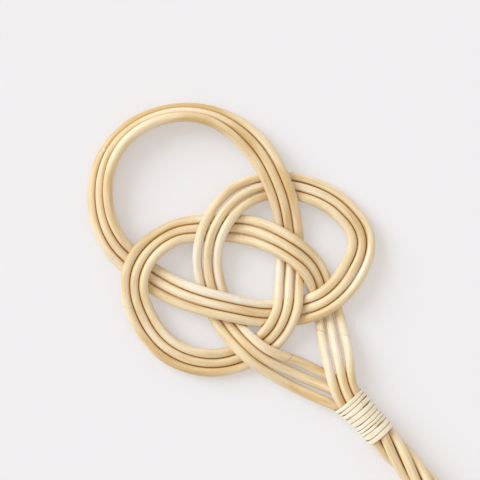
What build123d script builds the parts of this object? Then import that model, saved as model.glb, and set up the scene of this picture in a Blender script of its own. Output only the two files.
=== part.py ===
"""Rattan carpet beater: three long canes tied into one three-loop knot, lying on its face.

Each cane runs from the butt of the handle up one leg, through the whole knot, and down the other leg
to the butt again.  Below the neck the six cane ends lie as five strands twisted round the sixth.  Two
bindings of flat rattan peel hold the neck and the butt together.

The origin is the middle of the butt's end face, on the axis of the handle.  +Y runs to the head, and
+Z is up when the beater lies on its face.
"""
import math
import os

from build123d import *

os.makedirs("parts", exist_ok=True)

# Overall sizes, in millimetres
head_width = 220.0
head_length = 306.0
neck_length = 42.0
handle_length = 232.0

# Canes
cane_diameter = 7.7
cane_sides = 7
cane_gap = 0.35
crossing_room = 2.95
climb_steepness = 1.4
strand_gap = 0.4
lay_length = 158.0
lay_start_angle = 13.0
strands_round_core = 5
straight_end = 24.0

# Bindings of flat peel
strip_width = 3.7
strip_thickness = 1.0
strip_seat_gap = 0.5
neck_turns = 9
neck_flare = 4.2
neck_flare_angle = -103.0
butt_binding_length = 20.7
butt_binding_inset = 9.0
butt_turns = 4
sections_per_turn = 16

# Below these a run of a cane counts as straight, and two directions as parallel
straight_tolerance = 1e-6
parallel_tolerance = 1e-9

cane_radius = cane_diameter / 2
cane_pitch = cane_diameter + cane_gap
crossing_rise = cane_diameter + crossing_room
strand_circle_radius = cane_diameter + strand_gap
neck_end = handle_length + neck_length
binding_radius = strand_circle_radius + cane_radius + strip_seat_gap + strip_thickness / 2
rest_level = -(binding_radius + strip_thickness / 2)

# Places where the bundle crosses itself, as shares of the head's width and length
crossing_shares = {
    "right_leg": (0.180, 0.249),
    "left_leg": (-0.158, 0.274),
    "low_centre": (0.034, 0.297),
    "right_centre": (0.212, 0.423),
    "left_centre": (-0.145, 0.440),
    "top_centre": (0.042, 0.607),
    "far_left": (-0.285, 0.664),
    "top_right": (0.339, 0.582),
}

# The bundle's route from the right leg to the left one: its place, which is a crossing or the shares
# of a free point, its level as a share of the crossing rise, its bank as a share of a right angle,
# with the inner cane high, and its spread as a share of the canes' pitch
route_shares = [
    ((0.086, 0.125), 0.25, 0.0, 1.25),
    ("right_leg", -0.6, 0.0, 1.0),
    ((0.226, 0.352), 0.15, 0.3, 1.1),
    ("right_centre", 0.6, 0.0, 1.0),
    ((0.155, 0.520), 0.1, 0.0, 1.1),
    ("top_centre", -0.5, 0.0, 1.0),
    ((-0.113, 0.675), 0.0, 0.3, 1.0),
    ("far_left", 0.5, 0.0, 1.0),
    ((-0.402, 0.539), 0.0, 0.0, 1.0),
    ((-0.401, 0.427), -0.1, 0.1, 1.0),
    ((-0.326, 0.336), -0.2, 0.1, 1.0),
    ("left_leg", -0.5, 0.0, 1.0),
    ("low_centre", 0.6, 0.0, 1.0),
    ((0.125, 0.356), 0.0, 0.0, 1.05),
    ("right_centre", -0.6, 0.0, 1.0),
    ("top_right", 0.5, 0.0, 1.0),
    ((0.373, 0.718), 0.2, 0.15, 1.0),
    ((0.314, 0.857), 0.05, 0.55, 1.0),
    ((0.164, 0.947), 0.05, 0.6, 1.0),
    ((-0.039, 0.964), 0.0, 0.5, 1.0),
    ((-0.219, 0.879), 0.0, 0.3, 1.0),
    ((-0.291, 0.762), -0.1, 0.15, 1.0),
    ("far_left", -0.5, 0.0, 1.0),
    ((-0.240, 0.555), 0.0, 0.0, 1.05),
    ("left_centre", 0.6, 0.0, 1.0),
    ("low_centre", -0.4, 0.0, 1.0),
    ("right_leg", 0.4, 0.0, 1.0),
    ((0.328, 0.259), 0.2, 0.0, 1.05),
    ((0.445, 0.312), 0.1, 0.1, 1.0),
    ((0.466, 0.414), 0.0, 0.2, 1.0),
    ((0.421, 0.509), -0.2, 0.15, 1.0),
    ("top_right", -0.5, 0.0, 1.0),
    ((0.205, 0.626), 0.0, 0.0, 1.1),
    ("top_centre", 0.5, 0.0, 1.1),
    ("left_centre", -0.5, 0.0, 1.05),
    ("left_leg", 0.5, 0.0, 1.0),
    ((-0.088, 0.136), -0.4, 0.0, 1.35),
]

# The canes of the bundle, named by their place on the outside of its turns, and where each cane's two
# ends lie in the neck, as sideways and upward shares of the canes' pitch: at the head end of the
# binding and halfway down it.  A strand step counts strands round the core, and None is the core.
bundle_sides = {"cane_outer": 1, "cane_middle": 0, "cane_inner": -1}
right_end_shares = {
    "cane_outer": ((0.95, 0.36), (0.89, 0.49)),
    "cane_middle": ((0.0, 0.74), (-0.19, 0.98)),
    "cane_inner": ((-1.00, 0.56), (-0.99, 0.12)),
}
left_end_shares = {
    "cane_outer": ((-1.50, -0.42), (-0.42, -0.91)),
    "cane_middle": ((-0.20, -0.34), (0.0, 0.0)),
    "cane_inner": ((0.76, -0.60), (0.72, -0.67)),
}
right_strand_steps = {"cane_outer": 0, "cane_middle": -1, "cane_inner": -2}
left_strand_steps = {"cane_outer": -3, "cane_middle": None, "cane_inner": 1}


def mean_direction(before, here, after):
    """The tangent at a point, on the circle through it and its two neighbours."""
    back = here - before
    ahead = after - here
    return (back.normalized() * ahead.length + ahead.normalized() * back.length).normalized()


def flat(vector):
    """The vector's shadow on the plane that the beater lies on."""
    return Vector(vector.X, vector.Y, 0)


def plan_point(place):
    """A route place as a point on the level of the handle's axis."""
    x_share, y_share = crossing_shares[place] if isinstance(place, str) else place
    return Vector(head_width * x_share, neck_end + head_length * y_share, 0)


# The head lies as low as its lowest crossing lets it
lowest_share = min(row[1] for row in route_shares)
head_level = rest_level + cane_radius - crossing_rise * lowest_share

# The bundle's plan: its points and its directions, from leg to leg
plan_points = [plan_point(row[0]) for row in route_shares]
plan_ends = [Vector(0, neck_end, 0)]
plan_chain = plan_ends + plan_points + plan_ends
plan_directions = [
    mean_direction(*plan_chain[step:step + 3]) for step in range(len(plan_points))
]


def partner_direction(station):
    """The direction of the other pass of the bundle at the crossing of this station."""
    for other, row in enumerate(route_shares):
        if other != station and row[0] == route_shares[station][0]:
            return plan_directions[other]
    raise ValueError("a crossing is passed twice")


def knot_points(side):
    """One cane's points through the knot.  At a crossing it lies where it meets the other bundle's
    middle cane, so that its highest or lowest point is there, and elsewhere square to the bundle."""
    points = []
    for station, (place, level_share, bank_share, spread_share) in enumerate(route_shares):
        direction = plan_directions[station]
        outward = direction.cross(Vector(0, 0, 1))
        offset = side * cane_pitch * spread_share
        level = head_level + crossing_rise * level_share
        if isinstance(place, str):
            partner = partner_direction(station)
            shift = partner * (offset / outward.dot(partner))
        else:
            bank = math.radians(90 * bank_share)
            shift = outward * (offset * math.cos(bank)) + Vector(0, 0, -offset * math.sin(bank))
        points.append(plan_points[station] + shift + Vector(0, 0, level))
    return points


def strand_point(step, height):
    """A strand's centre at a height above the butt, and its direction to the head."""
    if step is None:
        return Vector(0, height, 0), Vector(0, 1, 0)
    turn_rate = 2 * math.pi / lay_length
    start = math.radians(lay_start_angle + 360 * step / strands_round_core)
    angle = start + turn_rate * (height - handle_length)
    point = Vector(strand_circle_radius * math.sin(angle), height, strand_circle_radius * math.cos(angle))
    slope = strand_circle_radius * turn_rate
    return point, Vector(slope * math.cos(angle), 1, -slope * math.sin(angle)).normalized()


def strand(step):
    """A strand's points and directions from the butt to the neck, four to a full turn.  It starts
    straight, so that all the end faces lie flush."""
    if step is None:
        return [strand_point(step, height) for height in (0, handle_length)]
    foot, _ = strand_point(step, straight_end / 2)
    twisted_length = handle_length - straight_end
    spans = math.ceil(twisted_length / (lay_length / 4))
    heights = [straight_end + twisted_length * number / spans for number in range(spans + 1)]
    ends = [(Vector(foot.X, 0, foot.Z), Vector(0, 1, 0))]
    return ends + [strand_point(step, height) for height in heights]


def neck_points(shares):
    """A cane's two points in the neck, from the middle of the binding to its head end."""
    at_head, halfway = shares
    return [
        Vector(cane_pitch * halfway[0], handle_length + neck_length / 2, cane_pitch * halfway[1]),
        Vector(cane_pitch * at_head[0], neck_end, cane_pitch * at_head[1]),
    ]


def cane_route(name):
    """All points of one cane, with its direction at each, from butt to butt."""
    start = strand(right_strand_steps[name])
    finish = [(point, -direction) for point, direction in reversed(strand(left_strand_steps[name]))]
    into_knot = neck_points(right_end_shares[name])
    out_of_knot = list(reversed(neck_points(left_end_shares[name])))
    free_points = into_knot + knot_points(bundle_sides[name]) + out_of_knot
    chain = [start[-1][0]] + free_points + [finish[0][0]]
    middle = []
    for number, point in enumerate(free_points):
        mean = mean_direction(chain[number], point, chain[number + 2])
        direction = Vector(mean.X, mean.Y, mean.Z * climb_steepness).normalized()
        station = number - len(into_knot)
        at_crossing = 0 <= station < len(route_shares) and isinstance(route_shares[station][0], str)
        middle.append((point, flat(direction).normalized() if at_crossing else direction))
    return start + middle + finish


def tangent_spans(route):
    """Joins each two neighbours of a route by a straight run or by two tangent arcs."""
    for (start, start_direction), (end, end_direction) in zip(route, route[1:]):
        reach = end - start
        turn = 2 * (1 - start_direction.dot(end_direction))
        along = reach.dot(start_direction + end_direction)
        bends = max(reach.cross(start_direction).length, reach.cross(end_direction).length)
        if bends < straight_tolerance:
            Line(start, end)
            continue
        if turn < parallel_tolerance:
            handle = reach.dot(reach) / (2 * along)
        else:
            handle = (math.sqrt(along**2 + turn * reach.dot(reach)) - along) / turn
        first_corner = start + start_direction * handle
        second_corner = end - end_direction * handle
        joint = (first_corner + second_corner) / 2
        TangentArc(start, joint, tangent=start_direction)
        TangentArc(joint, end, tangent=(second_corner - first_corner).normalized())


def winding_planes(top, bottom, turns, flare):
    """The planes of a flat strip's sections as it winds down from one height to another.  A flare
    pushes one side of its first turns out, round the canes that leave there."""
    count = turns * sections_per_turn
    planes = []
    for number in range(count + 1):
        progress = number / count
        turned = 360 * number / sections_per_turn
        angle = math.radians(neck_flare_angle + turned)
        outward = Vector(math.sin(angle), 0, math.cos(angle))
        round_way = Vector(math.cos(angle), 0, -math.sin(angle))
        lean = max(0, math.cos(math.radians(turned))) ** 2
        reach = binding_radius + flare * (1 - progress) ** 3 * lean
        along = round_way * (2 * math.pi * reach) - Vector(0, (top - bottom) / turns, 0)
        place = outward * reach + Vector(0, top + (bottom - top) * progress, 0)
        planes.append(Plane(origin=place, x_dir=outward, z_dir=along))
    return planes


def turn_gap(planes):
    """The least room between neighbouring turns of a strip, measured between section points."""
    margin = sections_per_turn // 2
    distances = [
        (later.origin - here.origin).length
        for number, here in enumerate(planes)
        for later in planes[number + margin:]
    ]
    return min(distances) - strip_width


# Canes
for cane_name in bundle_sides:
    route = cane_route(cane_name)
    with BuildPart() as cane:
        with BuildLine() as cane_path:
            tangent_spans(route)
        with BuildSketch(Plane(origin=route[0][0], z_dir=route[0][1])):
            RegularPolygon(cane_radius, cane_sides)
        sweep(path=cane_path.wire(), clean=False)
    cane.part.label = cane_name
    export_step(cane.part, f"parts/{cane_name}.step")
    print(f"{cane_name}: {sum(edge.length for edge in cane_path.edges()):.0f} mm long")

# Bindings: the heights of the two ends of each strip's middle line, its turns and its flare
half_strip = strip_width / 2
butt_binding_top = butt_binding_inset + butt_binding_length
bindings = {
    "neck_binding": (neck_end - half_strip, handle_length + half_strip, neck_turns, neck_flare),
    "butt_binding": (butt_binding_top - half_strip, butt_binding_inset + half_strip, butt_turns, 0),
}
for binding_name, strip_course in bindings.items():
    planes = winding_planes(*strip_course)
    with BuildPart() as binding:
        for plane in planes:
            with BuildSketch(plane):
                Rectangle(strip_thickness, strip_width)
        loft(ruled=True, clean=False)
    binding.part.label = binding_name
    export_step(binding.part, f"parts/{binding_name}.step")
    print(f"{binding_name}: least gap between turns {turn_gap(planes):.2f} mm")
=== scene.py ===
"""A knotted rattan carpet beater on a pale floor, laid out as a Blender add-on and run as a script.

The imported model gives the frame: the origin is the middle of the butt's end face, +Y runs to the head
and +Z is up.  Three round canes, tied into one three-loop knot and twisted into the handle, and two
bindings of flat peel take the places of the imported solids.
"""
import math

import bpy
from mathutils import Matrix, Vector, kdtree, noise


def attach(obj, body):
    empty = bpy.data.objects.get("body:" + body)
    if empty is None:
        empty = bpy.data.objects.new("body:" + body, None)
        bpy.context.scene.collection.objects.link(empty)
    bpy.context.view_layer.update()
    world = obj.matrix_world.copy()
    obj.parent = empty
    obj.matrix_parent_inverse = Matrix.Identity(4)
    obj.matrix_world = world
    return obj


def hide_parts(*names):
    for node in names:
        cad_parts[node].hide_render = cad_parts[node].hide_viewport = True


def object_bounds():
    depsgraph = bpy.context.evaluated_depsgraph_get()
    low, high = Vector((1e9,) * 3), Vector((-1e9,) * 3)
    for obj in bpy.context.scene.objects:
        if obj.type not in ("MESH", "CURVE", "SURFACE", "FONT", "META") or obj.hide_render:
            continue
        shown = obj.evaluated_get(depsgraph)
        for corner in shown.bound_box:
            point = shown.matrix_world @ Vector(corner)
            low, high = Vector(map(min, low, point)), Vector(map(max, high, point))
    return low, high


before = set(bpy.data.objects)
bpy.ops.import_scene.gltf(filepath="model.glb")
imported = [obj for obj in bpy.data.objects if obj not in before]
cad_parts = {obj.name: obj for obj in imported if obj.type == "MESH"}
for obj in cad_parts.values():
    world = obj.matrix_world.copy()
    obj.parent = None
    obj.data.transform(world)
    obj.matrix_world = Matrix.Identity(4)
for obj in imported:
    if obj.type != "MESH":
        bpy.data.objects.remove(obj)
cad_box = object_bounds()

bl_info = {
    "name": "Rattan carpet beater",
    "version": (1, 0, 0),
    "blender": (4, 5, 0),
    "location": "View3D > Sidebar > Beater",
    "description": "Dresses the packed frame of a carpet beater in rattan cane and peel",
    "category": "Add Mesh",
}

# One millimetre, in metres
mm = 0.001

# The head and the handle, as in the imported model
head_width = 220 * mm
head_length = 306 * mm
neck_length = 42 * mm
handle_length = 232 * mm
packed_cane_diameter = 7.7 * mm
cane_gap = 0.35 * mm
crossing_room = 2.95 * mm
climb_steepness = 1.4
strand_gap = 0.4 * mm
lay_length = 158 * mm
lay_start_angle = 13.0
strands_round_core = 5
straight_end = 24 * mm
strip_seat_gap = 0.5 * mm
packed_strip_thickness = 1.0 * mm
butt_binding_length = 20.7 * mm
butt_binding_inset = 9 * mm

cane_pitch = packed_cane_diameter + cane_gap
crossing_rise = packed_cane_diameter + crossing_room
strand_circle_radius = packed_cane_diameter + strand_gap
neck_end = handle_length + neck_length
seat_radius = strand_circle_radius + packed_cane_diameter / 2
binding_radius = seat_radius + strip_seat_gap + packed_strip_thickness / 2
rest_level = -(binding_radius + packed_strip_thickness / 2)

# Places where the bundle crosses itself, as shares of the head's width and length
crossing_shares = {
    "right_leg": (0.180, 0.249),
    "left_leg": (-0.158, 0.274),
    "low_centre": (0.034, 0.297),
    "right_centre": (0.212, 0.423),
    "left_centre": (-0.145, 0.440),
    "top_centre": (0.042, 0.607),
    "far_left": (-0.285, 0.664),
    "top_right": (0.339, 0.582),
}

# The bundle's route from the right leg to the left one: its place, which is a crossing or the shares
# of a free point, its level as a share of the crossing rise, its bank as a share of a right angle,
# with the inner cane high, and its spread as a share of the canes' pitch
route_shares = [
    ((0.086, 0.125), 0.25, 0.0, 1.25),
    ("right_leg", -0.6, 0.0, 1.0),
    ((0.226, 0.352), 0.15, 0.3, 1.1),
    ("right_centre", 0.6, 0.0, 1.0),
    ((0.155, 0.520), 0.1, 0.0, 1.1),
    ("top_centre", -0.5, 0.0, 1.0),
    ((-0.113, 0.675), 0.0, 0.3, 1.0),
    ("far_left", 0.5, 0.0, 1.0),
    ((-0.402, 0.539), 0.0, 0.0, 1.0),
    ((-0.401, 0.427), -0.1, 0.1, 1.0),
    ((-0.326, 0.336), -0.2, 0.1, 1.0),
    ("left_leg", -0.5, 0.0, 1.0),
    ("low_centre", 0.6, 0.0, 1.0),
    ((0.125, 0.356), 0.0, 0.0, 1.05),
    ("right_centre", -0.6, 0.0, 1.0),
    ("top_right", 0.5, 0.0, 1.0),
    ((0.373, 0.718), 0.2, 0.15, 1.0),
    ((0.314, 0.857), 0.05, 0.55, 1.0),
    ((0.164, 0.947), 0.05, 0.6, 1.0),
    ((-0.039, 0.964), 0.0, 0.5, 1.0),
    ((-0.219, 0.879), 0.0, 0.3, 1.0),
    ((-0.291, 0.762), -0.1, 0.15, 1.0),
    ("far_left", -0.5, 0.0, 1.0),
    ((-0.240, 0.555), 0.0, 0.0, 1.05),
    ("left_centre", 0.6, 0.0, 1.0),
    ("low_centre", -0.4, 0.0, 1.0),
    ("right_leg", 0.4, 0.0, 1.0),
    ((0.328, 0.259), 0.2, 0.0, 1.05),
    ((0.445, 0.312), 0.1, 0.1, 1.0),
    ((0.466, 0.414), 0.0, 0.2, 1.0),
    ((0.421, 0.509), -0.2, 0.15, 1.0),
    ("top_right", -0.5, 0.0, 1.0),
    ((0.205, 0.626), 0.0, 0.0, 1.1),
    ("top_centre", 0.5, 0.0, 1.1),
    ("left_centre", -0.5, 0.0, 1.05),
    ("left_leg", 0.5, 0.0, 1.0),
    ((-0.088, 0.136), -0.4, 0.0, 1.35),
]

# The canes of the bundle, named by their place on the outside of its turns, and where each cane's two
# ends lie in the neck, as sideways and upward shares of the canes' pitch: at the head end of the
# binding and halfway down it.  A strand step counts strands round the core, and None is the core.
bundle_sides = {"cane_outer": 1, "cane_middle": 0, "cane_inner": -1}
right_end_shares = {
    "cane_outer": ((0.95, 0.36), (0.89, 0.49)),
    "cane_middle": ((0.0, 0.74), (-0.19, 0.98)),
    "cane_inner": ((-1.00, 0.56), (-0.99, 0.12)),
}
left_end_shares = {
    "cane_outer": ((-1.50, -0.42), (-0.42, -0.91)),
    "cane_middle": ((-0.20, -0.34), (0.0, 0.0)),
    "cane_inner": ((0.76, -0.60), (0.72, -0.67)),
}
right_strand_steps = {"cane_outer": 0, "cane_middle": -1, "cane_inner": -2}
left_strand_steps = {"cane_outer": -3, "cane_middle": None, "cane_inner": 1}

# The mesh of a cane: steps along each run of its route, and points round it.  A run that turns less
# than the least turn counts as straight.
run_steps = 32
ring_points = 24
least_turn = 1e-6

# The growth of a cane: how far its thickness and its middle line wander, over what lengths, how far
# apart the three canes lie in the noise that they follow, and that noise's seed
thickness_wander = 0.022
thickness_wander_length = 55 * mm
bend_wander = 0.25 * mm
bend_wander_length = 34 * mm
wander_spacing = 7.0
noise_seed = 1

# A joint of the plant: how far the cane swells there and over what length, and how deep, wide and
# slanted the leaf's scar runs round it.  The swelling and the depth are shares of the cane's thickness.
node_swell = 0.03
node_swell_length = 5 * mm
node_scar_depth = 0.035
node_scar_width = 0.7 * mm
node_slant = 0.6

# A sawn end: the share of its width that is left after rounding, its rim and the hollow inside it
end_round = 0.94
end_inset = 0.35 * mm
end_hollow = 0.12 * mm

# How far the painted shade reaches out of a seam between two canes
seam_shade_reach = 2.0 * mm

# The sharpest bend of a surface that is shaded smooth
smooth_angle = math.radians(50)

# Joints of the plant.  Each has its cane, the shares of the head's width and length nearest to it, and
# how strong it is.
node_marks = [
    ("cane_outer", (-0.092, 0.980), 1.0),
    ("cane_inner", (0.290, 0.846), 0.45),
    ("cane_outer", (0.020, 0.640), 0.5),
    ("cane_outer", (-0.400, 0.600), 0.6),
    ("cane_inner", (-0.070, 0.415), 0.35),
    ("cane_outer", (0.142, 0.135), 0.7),
    ("cane_inner", (0.071, 0.195), 0.9),
    ("cane_inner", (-0.072, 0.202), 0.9),
]

# Longer marks, which also have how far along the cane they fade out.  Those of thickness are a share
# of the cane's own, those of tone are above 0 where it is paler and below 0 where it is more tan, and
# the last ones are scraped places.
thickness_marks = [
    ("cane_outer", (0.430, 0.530), -0.10, 45 * mm),
    ("cane_outer", (0.250, 0.930), -0.06, 60 * mm),
    ("cane_outer", (-0.130, 0.120), 0.05, 60 * mm),
    ("cane_middle", (-0.091, 0.135), 0.05, 60 * mm),
    ("cane_inner", (-0.050, 0.150), 0.05, 60 * mm),
    ("cane_inner", (-0.020, 0.930), 0.07, 60 * mm),
    ("cane_outer", (-0.170, 0.940), 0.04, 60 * mm),
    ("cane_outer", (-0.240, 0.300), 0.07, 60 * mm),
    ("cane_middle", (0.125, 0.356), 0.05, 40 * mm),
    ("cane_middle", (0.155, 0.520), 0.05, 40 * mm),
]
tone_marks = [
    ("cane_outer", (0.100, 1.000), -0.9, 75 * mm),
    ("cane_outer", (0.330, 0.900), -0.5, 50 * mm),
    ("cane_outer", (-0.400, 0.400), -0.6, 50 * mm),
    ("cane_outer", (-0.130, 0.120), -0.3, 45 * mm),
    ("cane_middle", (-0.091, 0.135), -0.2, 45 * mm),
    ("cane_inner", (-0.050, 0.150), -0.35, 40 * mm),
    ("cane_outer", (-0.130, 0.720), -0.7, 40 * mm),
    ("cane_middle", (-0.110, 0.680), -0.5, 35 * mm),
    ("cane_outer", (-0.090, 0.560), 0.8, 35 * mm),
    ("cane_inner", (-0.020, 0.530), 0.6, 30 * mm),
    ("cane_inner", (0.150, 0.390), 0.9, 30 * mm),
    ("cane_inner", (0.100, 0.330), 0.9, 25 * mm),
    ("cane_inner", (-0.080, 0.420), 0.7, 35 * mm),
    ("cane_inner", (-0.170, 0.510), 0.5, 35 * mm),
    ("cane_outer", (0.130, 0.120), 0.6, 35 * mm),
    ("cane_middle", (0.090, 0.130), 0.8, 35 * mm),
    ("cane_inner", (0.050, 0.130), 0.7, 35 * mm),
    ("cane_inner", (-0.130, 0.300), 0.8, 22 * mm),
]
scrape_marks = [
    ("cane_outer", (-0.095, 0.985), 0.6, 5 * mm),
    ("cane_inner", (-0.072, 0.415), 1.0, 4 * mm),
    ("cane_outer", (0.020, 0.650), 0.6, 6 * mm),
    ("cane_outer", (0.142, 0.128), 0.7, 7 * mm),
    ("cane_outer", (-0.400, 0.590), 0.5, 4 * mm),
]

# The mesh of a binding's strip: steps round one turn, and points across one face of its profile
turn_steps = 64
profile_points = 8

# The strip's profile: the powers that shape its crowned outer face and its flatter inner face, and how
# thick the inner half is beside the outer one
crown_power = 0.6
sole_power = 0.3
sole_share = 0.8

# The angle round the handle where a strip starts, and how far the neck binding's mouth stands out on
# that side.  The power sets how soon this fades down the binding.
strip_start_angle = math.radians(-103)
neck_flare = 4.2 * mm
flare_power = 3

# The radius of a strand as a taut strip lies on it
strip_seat_radius = 4.15 * mm

# Where the turns' edges lie on the face that the photograph shows, as shares of a binding's length
# from its head end
neck_edge_shares = (0.0, 0.088, 0.176, 0.293, 0.414, 0.529, 0.619, 0.690, 0.764, 0.893, 1.0)
butt_edge_shares = (0.0, 0.21, 0.40, 0.62, 0.80, 1.0)

# How far an edge wanders up and down, and how fast the noise changes from one edge to the next and
# round a turn
edge_wander = 0.5 * mm
edge_noise_step = 1.7
edge_noise_radius = 1.3

# How far a turn lies further out or in than the others, the line in the noise that it follows, and
# how fast it changes from turn to turn
turn_lift = 0.3 * mm
lift_noise_line = (0.3, 0.7)
lift_noise_step = 1.9

# How fast the painted shade fades from a strip's edges to its middle
edge_shade_power = 4

# Share of the strip's way down that it makes underneath, so that its turns lie square on the upper side
step_down_share = 0.95

# Places where two turns of the neck binding part: the number of the edge, the angle from the face in
# degrees, how far the edges part, and over how many degrees they close again
parted_edges = [
    (2, 50, 1.1 * mm, 20),
    (3, 38, 1.0 * mm, 22),
    (8, 24, 1.1 * mm, 16),
    (1, -66, 1.2 * mm, 9),
    (2, -62, 1.1 * mm, 9),
    (3, -70, 1.0 * mm, 9),
    (5, -30, 0.4 * mm, 30),
    (7, -20, 0.4 * mm, 25),
    (9, -70, 1.1 * mm, 12),
]

# How far along the winding, in turns, a parting fades out
parting_fade = 0.3

# Frayed places of the peel on the upper side: how far sideways and along the handle, and their reach
frayed_places = [
    (2.5 * mm, 244.6 * mm, 3.4 * mm),
    (6.0 * mm, 265.5 * mm, 2.4 * mm),
    (-10.5 * mm, 262.5 * mm, 2.0 * mm),
]

# The photograph's frame: how wide a field it shows at the handle's level, the place in the middle of
# it, how far it is turned from the handle, how high the camera stands, and how far it sees
view_field = 411 * mm
view_middle = (19.0 * mm, 437.5 * mm)
view_turn = math.radians(-41.2)
view_height = 1.3
view_end = 20

# The main light, from the picture's left: its height as an angle above the floor, how far it stands
# towards the picture's top, and how wide it looks, as a large lamp with a soft cover does
key_elevation = math.radians(32)
key_lean = 0.6
key_width = math.radians(40)

# Looks of the materials: the cane's sheen, how strongly the tone marks shift the cane's own tones, how
# fast the painted shade fades out of a seam, and how rough the peel and the board are
cane_gloss = 0.38
tone_shift = 0.24
seam_shade_power = 1.5
peel_roughness = 0.40
board_roughness = 0.9

# The sockets of a Mix node that carry colours: the one below, the one laid over it and the result
mix_below = 6
mix_above = 7
mix_result = 2


def linear_colour(code):
    """The linear colour, with its alpha, of an sRGB hex code such as "E3C48F"."""
    channels = []
    for start in (0, 2, 4):
        share = int(code[start:start + 2], 16) / 255
        channels.append(share / 12.92 if share <= 0.04045 else ((share + 0.055) / 1.055) ** 2.4)
    return (*channels, 1.0)


class CaneSettings(bpy.types.PropertyGroup):
    """What a user would change on the canes."""

    diameter: bpy.props.FloatProperty(
        name="Diameter", description="Thickness of a cane", default=8.12 * mm,
        min=5 * mm, max=9 * mm, precision=4, unit="LENGTH",
    )
    colour: bpy.props.FloatVectorProperty(
        name="Colour", description="The cane's main colour", size=4, subtype="COLOR",
        min=0, max=1, default=linear_colour("F6E0B6"),
    )
    tan_colour: bpy.props.FloatVectorProperty(
        name="Tan", description="The colour of the cane's darker lengths", size=4, subtype="COLOR",
        min=0, max=1, default=linear_colour("DDBA80"),
    )
    pale_colour: bpy.props.FloatVectorProperty(
        name="Pale", description="The colour of the cane's palest lengths", size=4, subtype="COLOR",
        min=0, max=1, default=linear_colour("FDF0D8"),
    )


class PeelSettings(bpy.types.PropertyGroup):
    """What a user would change on the bindings."""

    strip_gap: bpy.props.FloatProperty(
        name="Strip gap", description="Room between two turns of the peel", default=0.22 * mm,
        min=0, max=1 * mm, precision=5, unit="LENGTH",
    )
    strip_thickness: bpy.props.FloatProperty(
        name="Strip thickness", description="Thickness of the peel", default=0.9 * mm,
        min=0.4 * mm, max=1.5 * mm, precision=4, unit="LENGTH",
    )
    colour: bpy.props.FloatVectorProperty(
        name="Colour", description="The peel's main colour", size=4, subtype="COLOR",
        min=0, max=1, default=linear_colour("FFF5DC"),
    )


class StageSettings(bpy.types.PropertyGroup):
    """What a user would change on the floor and its light."""

    floor_colour: bpy.props.FloatVectorProperty(
        name="Floor", description="The floor's colour", size=4, subtype="COLOR",
        min=0, max=1, default=linear_colour("F3F5F8"),
    )
    glow_colour: bpy.props.FloatVectorProperty(
        name="Glow", description="The colour of the floor's own even light", size=4, subtype="COLOR",
        min=0, max=1, default=linear_colour("F2EBE8"),
    )
    glow_share: bpy.props.FloatProperty(
        name="Glow share", description="Share of the floor's own light in what the camera sees",
        default=0.40, min=0, max=1, subtype="FACTOR",
    )
    floor_size: bpy.props.FloatProperty(
        name="Floor size", description="Length of a side of the floor", default=6.0,
        min=1, max=20, unit="LENGTH",
    )
    key_strength: bpy.props.FloatProperty(
        name="Key light", description="Strength of the main light", default=2.25, min=0, max=10,
    )
    key_colour: bpy.props.FloatVectorProperty(
        name="Key colour", description="The colour of the main light", size=3, subtype="COLOR",
        min=0, max=1, default=linear_colour("E6F0FF")[:3],
    )
    fill_strength: bpy.props.FloatProperty(
        name="Fill light", description="Strength of the light from all round", default=0.68,
        min=0, max=2,
    )
    fill_colour: bpy.props.FloatVectorProperty(
        name="Fill colour", description="The colour of the light from all round", size=4,
        subtype="COLOR", min=0, max=1, default=linear_colour("FFF9F3"),
    )


def mean_direction(before, here, after):
    """The tangent at a point, on the circle through it and its two neighbours."""
    back = here - before
    ahead = after - here
    return (back.normalized() * ahead.length + ahead.normalized() * back.length).normalized()


def flat(vector):
    """The vector's shadow on the floor."""
    return Vector((vector.x, vector.y, 0))


def plan_point(place):
    """A route place as a point on the level of the handle's axis."""
    x_share, y_share = crossing_shares[place] if isinstance(place, str) else place
    return Vector((head_width * x_share, neck_end + head_length * y_share, 0))


# The head lies as low as its lowest crossing lets it
lowest_share = min(row[1] for row in route_shares)
head_level = rest_level + packed_cane_diameter / 2 - crossing_rise * lowest_share

# The bundle's plan: its points and its directions, from leg to leg
plan_points = [plan_point(row[0]) for row in route_shares]
plan_ends = [Vector((0, neck_end, 0))]
plan_chain = plan_ends + plan_points + plan_ends
plan_directions = [
    mean_direction(*plan_chain[step:step + 3]) for step in range(len(plan_points))
]


def partner_direction(station):
    """The direction of the other pass of the bundle at the crossing of this station."""
    for other, row in enumerate(route_shares):
        if other != station and row[0] == route_shares[station][0]:
            return plan_directions[other]
    raise ValueError("a crossing is passed twice")


def knot_points(side):
    """One cane's points through the knot.  At a crossing it lies where it meets the other bundle's
    middle cane, so that its highest or lowest point is there, and elsewhere square to the bundle."""
    points = []
    for station, (place, level_share, bank_share, spread_share) in enumerate(route_shares):
        direction = plan_directions[station]
        outward = direction.cross(Vector((0, 0, 1)))
        offset = side * cane_pitch * spread_share
        level = head_level + crossing_rise * level_share
        if isinstance(place, str):
            partner = partner_direction(station)
            shift = partner * (offset / outward.dot(partner))
        else:
            bank = math.radians(90 * bank_share)
            shift = outward * (offset * math.cos(bank)) - Vector((0, 0, offset * math.sin(bank)))
        points.append(plan_points[station] + shift + Vector((0, 0, level)))
    return points


def strand_point(step, height):
    """A strand's centre at a height above the butt, and its direction to the head."""
    if step is None:
        return Vector((0, height, 0)), Vector((0, 1, 0))
    turn_rate = 2 * math.pi / lay_length
    start = math.radians(lay_start_angle + 360 * step / strands_round_core)
    angle = start + turn_rate * (height - handle_length)
    sideways = strand_circle_radius * math.sin(angle)
    upward = strand_circle_radius * math.cos(angle)
    point = Vector((sideways, height, upward))
    return point, Vector((upward * turn_rate, 1, -sideways * turn_rate)).normalized()


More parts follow.
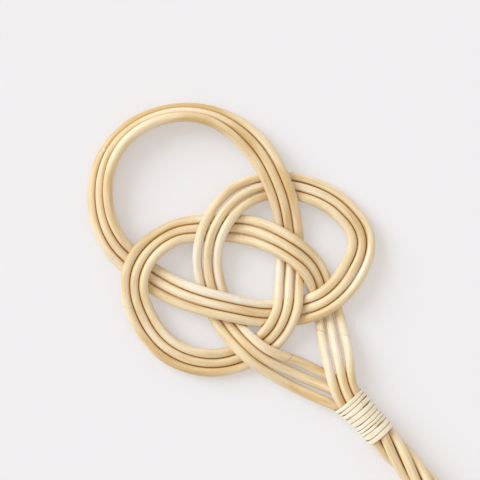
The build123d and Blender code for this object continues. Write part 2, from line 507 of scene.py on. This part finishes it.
def strand(step):
    """A strand's points and directions from the butt to the neck, four to a full turn.  It starts
    straight, so that all the end faces lie flush."""
    if step is None:
        return [strand_point(step, height) for height in (0, handle_length)]
    foot, _ = strand_point(step, straight_end / 2)
    twisted_length = handle_length - straight_end
    spans = math.ceil(twisted_length / (lay_length / 4))
    heights = [straight_end + twisted_length * number / spans for number in range(spans + 1)]
    ends = [(Vector((foot.x, 0, foot.z)), Vector((0, 1, 0)))]
    return ends + [strand_point(step, height) for height in heights]


def neck_points(shares):
    """A cane's two points in the neck, from the middle of the binding to its head end."""
    at_head, halfway = shares
    return [
        Vector((cane_pitch * halfway[0], handle_length + neck_length / 2, cane_pitch * halfway[1])),
        Vector((cane_pitch * at_head[0], neck_end, cane_pitch * at_head[1])),
    ]


def cane_route(name):
    """All points of one cane, with its direction at each, from butt to butt."""
    start = strand(right_strand_steps[name])
    finish = [(point, -direction) for point, direction in reversed(strand(left_strand_steps[name]))]
    into_knot = neck_points(right_end_shares[name])
    out_of_knot = list(reversed(neck_points(left_end_shares[name])))
    free_points = into_knot + knot_points(bundle_sides[name]) + out_of_knot
    chain = [start[-1][0]] + free_points + [finish[0][0]]
    middle = []
    for number, point in enumerate(free_points):
        before, after = chain[number], chain[number + 2]
        mean = mean_direction(before, point, after)
        direction = Vector((mean.x, mean.y, mean.z * climb_steepness)).normalized()
        station = number - len(into_knot)
        at_crossing = 0 <= station < len(route_shares) and isinstance(route_shares[station][0], str)
        middle.append((point, flat(direction).normalized() if at_crossing else direction))
    return start + middle + finish


def handle_reach(start, start_direction, end, end_direction):
    """The length of the two handles that bend a run like a pair of tangent arcs."""
    reach = end - start
    turn = 2 * (1 - start_direction.dot(end_direction))
    along = reach.dot(start_direction + end_direction)
    if turn < least_turn:
        tangent = reach.dot(reach) / (2 * along)
    else:
        tangent = (math.sqrt(along ** 2 + turn * reach.dot(reach)) - along) / turn
    # With 4/3 of the arcs' tangents, the run passes through the place where the arcs meet
    return tangent * 4 / 3


def deselect_all():
    """Leaves nothing selected, so that an operator acts on new work alone."""
    for thing in bpy.context.selected_objects:
        thing.select_set(False)


def cane_tube(name, radius):
    """A round tube through the points of one cane, as a mesh of rings with closed ends."""
    route = cane_route(name)
    deselect_all()
    bpy.ops.curve.primitive_bezier_curve_add(location=(0, 0, 0))
    piece = bpy.context.object
    piece.name = name + "_rattan"
    curve = piece.data
    curve.dimensions = "3D"
    curve.twist_mode = "MINIMUM"
    curve.resolution_u = run_steps
    curve.bevel_depth = radius
    # The bevel has four points round it, and two more for each step of its resolution
    curve.bevel_resolution = ring_points // 2 - 2
    curve.use_fill_caps = True
    spline = curve.splines[0]
    spline.bezier_points.add(len(route) - len(spline.bezier_points))
    for knot, (point, direction) in zip(spline.bezier_points, route):
        knot.handle_left_type = "FREE"
        knot.handle_right_type = "FREE"
        knot.co = point
        knot.handle_left = point - direction * radius
        knot.handle_right = point + direction * radius
        knot.radius = 1
        knot.tilt = 0
    for number in range(len(route) - 1):
        (start, start_direction), (end, end_direction) = route[number], route[number + 1]
        reach = handle_reach(start, start_direction, end, end_direction)
        spline.bezier_points[number].handle_right = start + start_direction * reach
        spline.bezier_points[number + 1].handle_left = end - end_direction * reach
    bpy.ops.object.convert(target="MESH")
    return bpy.context.object


def ring_centres(mesh):
    """The middle of each ring of a tube, and its distance along the tube."""
    count = len(mesh.vertices) // ring_points
    centres = []
    for ring in range(count):
        corners = [mesh.vertices[ring * ring_points + point].co for point in range(ring_points)]
        centres.append(sum(corners, Vector()) / ring_points)
    distances = [0.0]
    for here, there in zip(centres, centres[1:]):
        distances.append(distances[-1] + (there - here).length)
    return centres, distances


def nearest_distance(centres, distances, place_shares):
    """How far along the tube it passes nearest to a place, given as shares of the head's sizes."""
    place = plan_point(place_shares)
    gaps = [(flat(centre) - place).length for centre in centres]
    return distances[gaps.index(min(gaps))]


def marks_along(marks, name, centres, distances):
    """The marks of one cane: how far along it each one lies, and its other values."""
    return [
        (nearest_distance(centres, distances, place), *values)
        for owner, place, *values in marks if owner == name
    ]


def fade(offset, reach):
    """A smooth bump, 1 in its middle, that fades out over its reach."""
    return math.exp(-(offset / reach) ** 2)


def summed_marks(marks, distance):
    """What the marks add up to at one distance along a cane."""
    return sum(strength * fade(distance - middle, reach) for middle, strength, reach in marks)


def shift_inside(corners):
    """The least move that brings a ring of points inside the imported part's box."""
    shift = Vector()
    for axis in range(3):
        low = min(corner[axis] for corner in corners)
        high = max(corner[axis] for corner in corners)
        shift[axis] = max(0, cad_box[0][axis] - low) + min(0, cad_box[1][axis] - high)
    return shift


def add_marks(mesh, names):
    """Adds a place in the grain and the named marks to each point of a mesh, and gives them by name."""
    mesh.attributes.new("grain", "FLOAT_VECTOR", "POINT")
    for name in names:
        mesh.attributes.new(name, "FLOAT", "POINT")
    return {name: mesh.attributes[name].data for name in ("grain", *names)}


def joint_shape(joints, distance, slant):
    """How far a cane swells at its joints, and how deep it lies in a scar, at one distance along it."""
    swell = 0.0
    scar = 0.0
    for middle, strength in joints:
        offset = distance - middle - slant
        swell += strength * node_swell * fade(offset, node_swell_length)
        scar += strength * fade(offset, node_scar_width)
    return swell, scar


def grow_cane(piece, name, radius):
    """Gives a tube the uneven thickness and the joints of a grown cane, and writes where each point
    lies across and along it, its tone and its marks.  It returns the middle line."""
    mesh = piece.data
    centres, distances = ring_centres(mesh)
    joints = marks_along(node_marks, name, centres, distances)
    thickness = marks_along(thickness_marks, name, centres, distances)
    tones = marks_along(tone_marks, name, centres, distances)
    scrapes = marks_along(scrape_marks, name, centres, distances)
    seed = Vector((wander_spacing * bundle_sides[name], 0, 0))
    marks = add_marks(mesh, ("scar", "tone", "scrape", "seam", "cut"))
    for ring, (centre, distance) in enumerate(zip(centres, distances)):
        wander = noise.noise(seed + Vector((0, 0, distance / thickness_wander_length)))
        ring_scale = 1 + thickness_wander * wander + summed_marks(thickness, distance)
        if ring in (0, len(centres) - 1):
            ring_scale *= end_round
        bend = noise.noise_vector(seed + Vector((0, 0, distance / bend_wander_length))) * bend_wander
        ring_tone = summed_marks(tones, distance)
        ring_scrape = summed_marks(scrapes, distance)
        corners = []
        for point in range(ring_points):
            number = ring * ring_points + point
            angle = 2 * math.pi * point / ring_points
            across = (radius * math.cos(angle), radius * math.sin(angle))
            swell, scar = joint_shape(joints, distance, node_slant * across[0])
            spoke = mesh.vertices[number].co - centre
            corners.append(centre + bend + spoke * (ring_scale + swell - node_scar_depth * scar))
            marks["grain"][number].vector = (*across, distance)
            marks["scar"][number].value = scar
            marks["tone"][number].value = ring_tone
            marks["scrape"][number].value = ring_scrape * max(0, spoke.z / radius) ** 2
        shift = shift_inside(corners)
        for point, corner in enumerate(corners):
            mesh.vertices[ring * ring_points + point].co = corner + shift
    mesh.update()
    return ring_centres(mesh)[0]


def paint_seam_shade(piece, radius, neighbours):
    """Writes how near each point lies to the neighbouring canes, for the painted shade in the seams."""
    seam = piece.data.attributes["seam"].data
    for number, vertex in enumerate(piece.data.vertices):
        gap = min(tree.find(vertex.co)[2] for tree in neighbours) - radius
        # Painted shade: the nearer a point lies to another cane, the darker brown it is painted
        seam[number].value = max(0, 1 - max(0, gap) / seam_shade_reach)


def cut_ends(piece):
    """Insets the two sawn ends of the cane at hand, marks them for their own grain and shades the
    cane smooth."""
    mesh = piece.data
    grown = len(mesh.vertices)
    bpy.ops.object.mode_set(mode="EDIT")
    bpy.ops.mesh.select_mode(type="FACE")
    bpy.ops.mesh.select_all(action="DESELECT")
    bpy.ops.mesh.select_face_by_sides(number=ring_points)
    bpy.ops.mesh.inset(thickness=end_inset, depth=-end_hollow)
    bpy.ops.object.mode_set(mode="OBJECT")
    cut = mesh.attributes["cut"].data
    for number in range(grown, len(mesh.vertices)):
        cut[number].value = 1
    bpy.ops.object.shade_smooth_by_angle(angle=smooth_angle)


def centre_tree(centres):
    """The middle line of a cane, ready for finding the point of it nearest to a place."""
    tree = kdtree.KDTree(len(centres))
    for number, centre in enumerate(centres):
        tree.insert(centre, number)
    tree.balance()
    return tree


def edge_height(place, angle, top, length, edge_shares):
    """The height of an edge between two turns, which wanders a little round the winding.  The place
    is the number of the edge, and rises by one a turn."""
    place -= step_down_share * math.sin(2 * math.pi * place) / (2 * math.pi)
    last = len(edge_shares) - 1
    number = min(max(place, 0), last)
    before = min(int(number), last - 1)
    share = edge_shares[before] + (edge_shares[before + 1] - edge_shares[before]) * (number - before)
    ends_fade = min(1, number, last - number)
    sideways = math.sin(angle) * edge_noise_radius
    upward = math.cos(angle) * edge_noise_radius
    wander = noise.noise(Vector((number * edge_noise_step, sideways, upward)))
    return top - length * share + edge_wander * wander * ends_fade


def parting(place, angle, partings):
    """How far two turns part at a place of the edge between them."""
    room = 0.0
    for number, degrees, width, reach in partings:
        turned = math.degrees(angle) - degrees
        turned = (turned + 180) % 360 - 180
        room += width * fade(turned, reach) * fade(place - number, parting_fade)
    return room


def summed_frays(place):
    """How badly the peel is frayed at a place on the upper side."""
    if place.z < 0:
        return 0.0
    return sum(
        fade(math.hypot(place.x - x, place.y - y), reach) for x, y, reach in frayed_places
    )


def taut_reach(angle, height, radius):
    """How far out a strip pulled taut round the ring of strands lies: out on each strand, and flat
    and nearer between two."""
    half_space = math.pi / strands_round_core
    foot, _ = strand_point(0, max(height, straight_end / 2))
    turned = (angle - math.atan2(foot.x, foot.z)) % (2 * half_space) - half_space
    flat_reach = strand_circle_radius * math.cos(half_space) + radius
    flat_half = math.atan2(strand_circle_radius * math.sin(half_space), flat_reach)
    if abs(turned) < flat_half:
        return flat_reach / math.cos(turned)
    aside = half_space - abs(turned)
    across = strand_circle_radius * math.sin(aside)
    return strand_circle_radius * math.cos(aside) + math.sqrt(radius ** 2 - across ** 2)


def wound_strip(name, thickness, turns, length):
    """A strip of the peel's profile, wound evenly round the handle's axis."""
    ring = 2 * profile_points
    deselect_all()
    bpy.ops.mesh.primitive_circle_add(vertices=ring, radius=thickness / 2)
    piece = bpy.context.object
    piece.name = name
    # The circle becomes the strip's profile: X runs out of the winding and Y along the handle
    for number, vertex in enumerate(piece.data.vertices):
        angle = 2 * math.pi * number / ring
        out = math.sin(angle)
        bulge = out ** crown_power if out > 0 else -(abs(out) ** sole_power) * sole_share
        vertex.co = (bulge * thickness / 2, math.cos(angle) / 2, 0)
    winding = piece.modifiers.new("Winding", "SCREW")
    winding.axis = "Y"
    winding.angle = 2 * math.pi * turns
    winding.steps = round(turn_steps * turns)
    winding.render_steps = winding.steps
    winding.screw_offset = -length
    winding.use_normal_calculate = True
    bpy.ops.object.modifier_apply(modifier=winding.name)
    return piece


def close_strip():
    """Closes the ends of the strip at hand, turns its faces outwards and shades it smooth."""
    bpy.ops.object.mode_set(mode="EDIT")
    bpy.ops.mesh.select_all(action="DESELECT")
    bpy.ops.mesh.select_mode(type="EDGE")
    bpy.ops.mesh.select_non_manifold()
    bpy.ops.mesh.edge_face_add()
    bpy.ops.mesh.select_all(action="SELECT")
    bpy.ops.mesh.normals_make_consistent(inside=False)
    bpy.ops.object.mode_set(mode="OBJECT")
    bpy.ops.object.shade_smooth_by_angle(angle=smooth_angle)


def peel_strip(name, top, length, edge_shares, partings, taut, settings):
    """A strip of peel, wound down the canes from its top.  A taut one is drawn tight over the strands,
    and one that isn't runs round, with a mouth that flares."""
    thickness = settings.strip_thickness
    ring = 2 * profile_points
    # The strip starts with its upper edge at the top, and ends underneath, half a turn early
    start_place = -strip_start_angle / (2 * math.pi)
    turns = len(edge_shares) - 1 - 0.5 + start_place
    piece = wound_strip(name, thickness, turns, length)
    mesh = piece.data
    count = len(mesh.vertices) // ring
    marks = add_marks(mesh, ("edge", "fray"))
    profile = [Vector(mesh.vertices[point].co) for point in range(ring)]
    for step in range(count):
        turned = 2 * math.pi * turns * step / (count - 1)
        angle = strip_start_angle + turned
        outward = Vector((math.sin(angle), 0, math.cos(angle)))
        place = turned / (2 * math.pi) - start_place
        upper = edge_height(place, angle, top, length, edge_shares)
        lower = edge_height(place + 1, angle, top, length, edge_shares)
        upper -= (settings.strip_gap + parting(place, angle, partings)) / 2
        lower += (settings.strip_gap + parting(place + 1, angle, partings)) / 2
        middle = (upper + lower) / 2
        width = max(upper - lower, thickness)
        if taut:
            reach = taut_reach(angle, middle, strip_seat_radius) + thickness / 2
        else:
            lean = max(0, math.cos(turned)) ** 2
            progress = (top - middle) / length
            reach = binding_radius + neck_flare * (1 - progress) ** flare_power * lean
        reach += turn_lift * noise.noise(Vector((*lift_noise_line, place * lift_noise_step)))
        corners = []
        for point in range(ring):
            out = profile[point].x
            along = profile[point].y * width
            corners.append(outward * (reach + out) + Vector((0, middle + along, 0)))
            number = step * ring + point
            marks["grain"][number].vector = (along, out, turned * binding_radius)
            # Painted shade, darkest at the strip's edges beside the gaps between turns
            marks["edge"][number].value = (2 * abs(profile[point].y)) ** edge_shade_power
            marks["fray"][number].value = summed_frays(corners[-1])
        shift = shift_inside(corners)
        for point, corner in enumerate(corners):
            mesh.vertices[step * ring + point].co = corner + shift
    mesh.update()
    close_strip()
    return piece


def new_material(name):
    """A material with a plain shader, and the shader's node."""
    material = bpy.data.materials.new(name)
    material.use_nodes = True
    return material, material.node_tree.nodes["Principled BSDF"]


def add_node(material, kind, settings=None, links=None):
    """Adds a node, sets its own values and those of its inputs, and links inputs to their sources."""
    tree = material.node_tree
    node = tree.nodes.new(kind)
    for key, value in (settings or {}).items():
        if isinstance(key, str) and hasattr(node, key):
            setattr(node, key, value)
        else:
            node.inputs[key].default_value = value
    for key, source in (links or {}).items():
        tree.links.new(source, node.inputs[key])
    return node


def read_marks(material, names):
    """The point marks of the mesh that a material reads, by name."""
    return {
        name: add_node(material, "ShaderNodeAttribute", {"attribute_name": name}).outputs["Fac"]
        for name in names
    }


def grown_patterns(material, sizes):
    """Noise stretched along the grain, by name.  Each has its width, its length and its detail."""
    grain = add_node(material, "ShaderNodeAttribute", {"attribute_name": "grain"})
    patterns = {}
    for name, (across, along, detail) in sizes.items():
        place = add_node(
            material, "ShaderNodeVectorMath",
            {"operation": "MULTIPLY", 1: (1 / across, 1 / across, 1 / along)},
            {0: grain.outputs["Vector"]},
        )
        pattern = add_node(
            material, "ShaderNodeTexNoise", {"Scale": 1.0, "Detail": detail, "Roughness": 0.6},
            {"Vector": place.outputs["Vector"]},
        )
        patterns[name] = pattern.outputs["Fac"]
    return patterns


def lay_colours(material, base, layers):
    """A colour built up in layers.  Each layer covers the ones below by how far its source lies
    between two values, up to its strength."""
    colour = None
    for source, low, high, strength, tint in layers:
        share = add_node(
            material, "ShaderNodeMapRange",
            {"From Min": low, "From Max": high, "To Min": 0.0, "To Max": strength}, {"Value": source},
        )
        mix = add_node(
            material, "ShaderNodeMix", {"data_type": "RGBA", mix_below: base, mix_above: tint},
            {0: share.outputs["Result"]},
        )
        if colour:
            material.node_tree.links.new(colour, mix.inputs[mix_below])
        colour = mix.outputs[mix_result]
    return colour


def rattan_cane(settings):
    """Rattan cane, peeled of its skin and polished.  It gives a satin, cream to honey round with fine
    pores and fibres along it, tanner lengths, painted brown shade where canes touch, and leaf rings."""
    material, shader = new_material("polished_rattan_cane")
    shader.inputs["Specular IOR Level"].default_value = cane_gloss
    marks = read_marks(material, ("tone", "scar", "scrape", "seam", "cut"))
    patterns = grown_patterns(material, {
        "tones": (9 * mm, 60 * mm, 2.0),
        "fibres": (0.5 * mm, 26 * mm, 3.0),
        "flecks": (0.5 * mm, 3.2 * mm, 1.0),
        "edges": (1.6 * mm, 5 * mm, 3.0),
        "pores": (0.45 * mm, 0.45 * mm, 1.0),
    })
    tone = add_node(
        material, "ShaderNodeMath", {"operation": "MULTIPLY_ADD", 1: tone_shift},
        {0: marks["tone"], 2: patterns["tones"]},
    )
    bared = add_node(
        material, "ShaderNodeMath", {"operation": "MULTIPLY"},
        {0: marks["scrape"], 1: patterns["edges"]},
    )
    # Painted shade, deepest right in the seams between canes
    deep_seam_shade = add_node(
        material, "ShaderNodeMath", {"operation": "POWER", 1: seam_shade_power}, {0: marks["seam"]},
    )
    cut_pores = add_node(
        material, "ShaderNodeMath", {"operation": "MULTIPLY"}, {0: marks["cut"], 1: patterns["pores"]},
    )
    colour = lay_colours(material, settings.tan_colour, [
        (tone.outputs["Value"], 0.26, 0.50, 1.0, settings.colour),
        (tone.outputs["Value"], 0.52, 0.76, 1.0, settings.pale_colour),
        (patterns["fibres"], 0.52, 0.28, 0.50, linear_colour("CBA066")),
        (patterns["flecks"], 0.67, 0.74, 0.50, linear_colour("A87B45")),
        (bared.outputs["Value"], 0.20, 0.38, 0.80, linear_colour("FDF7EA")),
        (marks["scar"], 0.15, 0.9, 0.55, linear_colour("A98455")),
        # The two seam layers are painted brown shade between touching canes
        (marks["seam"], 0.0, 1.0, 0.95, linear_colour("CA9730")),
        (deep_seam_shade.outputs["Value"], 0.5, 0.95, 0.9, linear_colour("7C4208")),
        (marks["cut"], 0.0, 1.0, 1.0, linear_colour("DCC08E")),
        (cut_pores.outputs["Value"], 0.52, 0.60, 0.7, linear_colour("8A6234")),
    ])
    material.node_tree.links.new(colour, shader.inputs["Base Color"])
    gloss = add_node(
        material, "ShaderNodeMapRange",
        {"From Min": 0.3, "From Max": 0.7, "To Min": 0.32, "To Max": 0.46},
        {"Value": patterns["fibres"]},
    )
    material.node_tree.links.new(gloss.outputs["Result"], shader.inputs["Roughness"])
    bump = add_node(
        material, "ShaderNodeBump", {"Strength": 0.3, "Distance": 0.15 * mm},
        {"Height": patterns["fibres"]},
    )
    material.node_tree.links.new(bump.outputs["Normal"], shader.inputs["Normal"])
    return material


def rattan_peel(settings):
    """The skin of rattan, split off in flat strips.  It gives a paler, smoother band with long fibre
    lines, painted brown shade along its edges and a few frayed places."""
    material, shader = new_material("rattan_peel")
    shader.inputs["Roughness"].default_value = peel_roughness
    marks = read_marks(material, ("edge", "fray"))
    patterns = grown_patterns(material, {
        "tones": (3 * mm, 16 * mm, 2.0),
        "fibres": (0.35 * mm, 18 * mm, 3.0),
        "frays": (0.4 * mm, 3 * mm, 2.0),
    })
    frayed = add_node(
        material, "ShaderNodeMath", {"operation": "MULTIPLY"}, {0: marks["fray"], 1: patterns["frays"]},
    )
    colour = lay_colours(material, settings.colour, [
        (patterns["tones"], 0.50, 0.30, 0.85, linear_colour("F5E2B8")),
        (patterns["fibres"], 0.52, 0.30, 0.60, linear_colour("D9B880")),
        # Painted brown shade along the strip's edges, beside the gaps between turns
        (marks["edge"], 0.50, 1.0, 0.90, linear_colour("A5742F")),
        (frayed.outputs["Value"], 0.42, 0.55, 0.7, linear_colour("9C6E3A")),
    ])
    material.node_tree.links.new(colour, shader.inputs["Base Color"])
    bump = add_node(
        material, "ShaderNodeBump", {"Strength": 0.3, "Distance": 0.12 * mm},
        {"Height": patterns["fibres"]},
    )
    material.node_tree.links.new(bump.outputs["Normal"], shader.inputs["Normal"])
    return material


def white_board(settings):
    """Matt white board.  To the camera it glows a little, a painted light that pales its shadows."""
    material, shader = new_material("matt_white_board")
    shader.inputs["Roughness"].default_value = board_roughness
    shader.inputs["Base Color"].default_value = settings.floor_colour
    # Painted light: a glow seen by camera rays alone, which pales the floor's shadows
    glow = add_node(material, "ShaderNodeEmission", {"Color": settings.glow_colour, "Strength": 1.0})
    path = add_node(material, "ShaderNodeLightPath")
    share = add_node(
        material, "ShaderNodeMath", {"operation": "MULTIPLY", 1: settings.glow_share},
        {0: path.outputs["Is Camera Ray"]},
    )
    mix = add_node(
        material, "ShaderNodeMixShader", None,
        {0: share.outputs["Value"], 1: shader.outputs["BSDF"], 2: glow.outputs["Emission"]},
    )
    surface = material.node_tree.nodes["Material Output"].inputs["Surface"]
    material.node_tree.links.new(mix.outputs["Shader"], surface)
    return material


class BEATER_OT_canes(bpy.types.Operator):
    """Builds the three canes of the knot and the handle"""

    bl_idname = "beater.canes"
    bl_label = "Canes"

    def execute(self, context):
        settings = context.scene.beater_canes
        material = rattan_cane(settings)
        radius = settings.diameter / 2
        # Without a seed of its own, the noise that bends the canes would differ in each run
        noise.seed_set(noise_seed)
        trees = {}
        for name in bundle_sides:
            piece = cane_tube(name, radius)
            trees[name] = centre_tree(grow_cane(piece, name, radius))
            cut_ends(piece)
            piece.data.materials.clear()
            piece.data.materials.append(material)
            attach(piece, "root")
            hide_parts(name)
        # Painted shade in the seams, from how near each cane lies to the others
        for name in bundle_sides:
            neighbours = [tree for owner, tree in trees.items() if owner != name]
            paint_seam_shade(bpy.data.objects[name + "_rattan"], radius, neighbours)
        return {"FINISHED"}


class BEATER_OT_bindings(bpy.types.Operator):
    """Winds the strips of peel round the neck and the butt"""

    bl_idname = "beater.bindings"
    bl_label = "Bindings"

    def execute(self, context):
        settings = context.scene.beater_peel
        material = rattan_peel(settings)
        butt_top = butt_binding_inset + butt_binding_length
        courses = {
            "neck_binding": (neck_end, neck_length, neck_edge_shares, parted_edges, False),
            "butt_binding": (butt_top, butt_binding_length, butt_edge_shares, (), True),
        }
        for name, (top, length, edge_shares, partings, taut) in courses.items():
            piece = peel_strip(name + "_peel", top, length, edge_shares, partings, taut, settings)
            piece.data.materials.clear()
            piece.data.materials.append(material)
            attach(piece, "root")
            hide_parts(name)
        return {"FINISHED"}


class BEATER_OT_stage(bpy.types.Operator):
    """Lays the floor, sets the lamps and points the camera"""

    bl_idname = "beater.stage"
    bl_label = "Floor, light and camera"

    def execute(self, context):
        settings = context.scene.beater_stage
        deselect_all()
        floor_level = cad_box[0].z
        bpy.ops.mesh.primitive_plane_add(
            size=settings.floor_size, location=(view_middle[0], view_middle[1], floor_level),
        )
        floor = context.object
        floor.name = "floor"
        bpy.ops.object.transform_apply(location=True, rotation=True, scale=True)
        floor.data.materials.append(white_board(settings))

        world = bpy.data.worlds.new("studio_fill")
        context.scene.world = world
        world.use_nodes = True
        background = world.node_tree.nodes["Background"]
        background.inputs["Color"].default_value = settings.fill_colour
        background.inputs["Strength"].default_value = settings.fill_strength

        # A wide soft lamp, far off to the picture's left and top
        right = Vector((math.cos(view_turn), math.sin(view_turn), 0))
        up = Vector((-math.sin(view_turn), math.cos(view_turn), 0))
        middle = Vector((view_middle[0], view_middle[1], 0))
        rise = math.tan(key_elevation)
        key_way = (up * key_lean - right).normalized() + Vector((0, 0, rise))
        bpy.ops.object.light_add(type="SUN", location=middle + key_way)
        key = context.object
        key.name = "key_light"
        key.data.energy = settings.key_strength
        key.data.color = settings.key_colour
        key.data.angle = key_width
        key.rotation_euler = key_way.to_track_quat("Z", "Y").to_euler()

        bpy.ops.object.camera_add(
            location=middle + Vector((0, 0, view_height)), rotation=(0, 0, view_turn),
        )
        camera = context.object
        camera.data.lens = camera.data.sensor_width * view_height / view_field
        camera.data.clip_end = view_end
        context.scene.camera = camera
        context.scene.view_settings.view_transform = "Standard"
        return {"FINISHED"}


class BEATER_PT_panel(bpy.types.Panel):
    """Lists the pieces of the beater"""

    bl_label = "Carpet beater"
    bl_idname = "BEATER_PT_panel"
    bl_space_type = "VIEW_3D"
    bl_region_type = "UI"
    bl_category = "Beater"

    def draw(self, context):
        for operator, group in steps:
            column = self.layout.column()
            column.operator(operator.bl_idname)
            settings = getattr(context.scene, group)
            for name in settings.__annotations__:
                column.prop(settings, name)


setting_groups = {
    "beater_canes": CaneSettings,
    "beater_peel": PeelSettings,
    "beater_stage": StageSettings,
}
steps = (
    (BEATER_OT_canes, "beater_canes"),
    (BEATER_OT_bindings, "beater_peel"),
    (BEATER_OT_stage, "beater_stage"),
)


def register():
    for name, group in setting_groups.items():
        bpy.utils.register_class(group)
        setattr(bpy.types.Scene, name, bpy.props.PointerProperty(type=group))
    for operator, _ in steps:
        bpy.utils.register_class(operator)
    bpy.utils.register_class(BEATER_PT_panel)


def unregister():
    bpy.utils.unregister_class(BEATER_PT_panel)
    for operator, _ in reversed(steps):
        bpy.utils.unregister_class(operator)
    for name, group in reversed(setting_groups.items()):
        delattr(bpy.types.Scene, name)
        bpy.utils.unregister_class(group)


def main():
    """Builds the beater and its stage."""
    register()
    bpy.ops.beater.canes()
    bpy.ops.beater.bindings()
    bpy.ops.beater.stage()


if __name__ == "__main__":
    main()
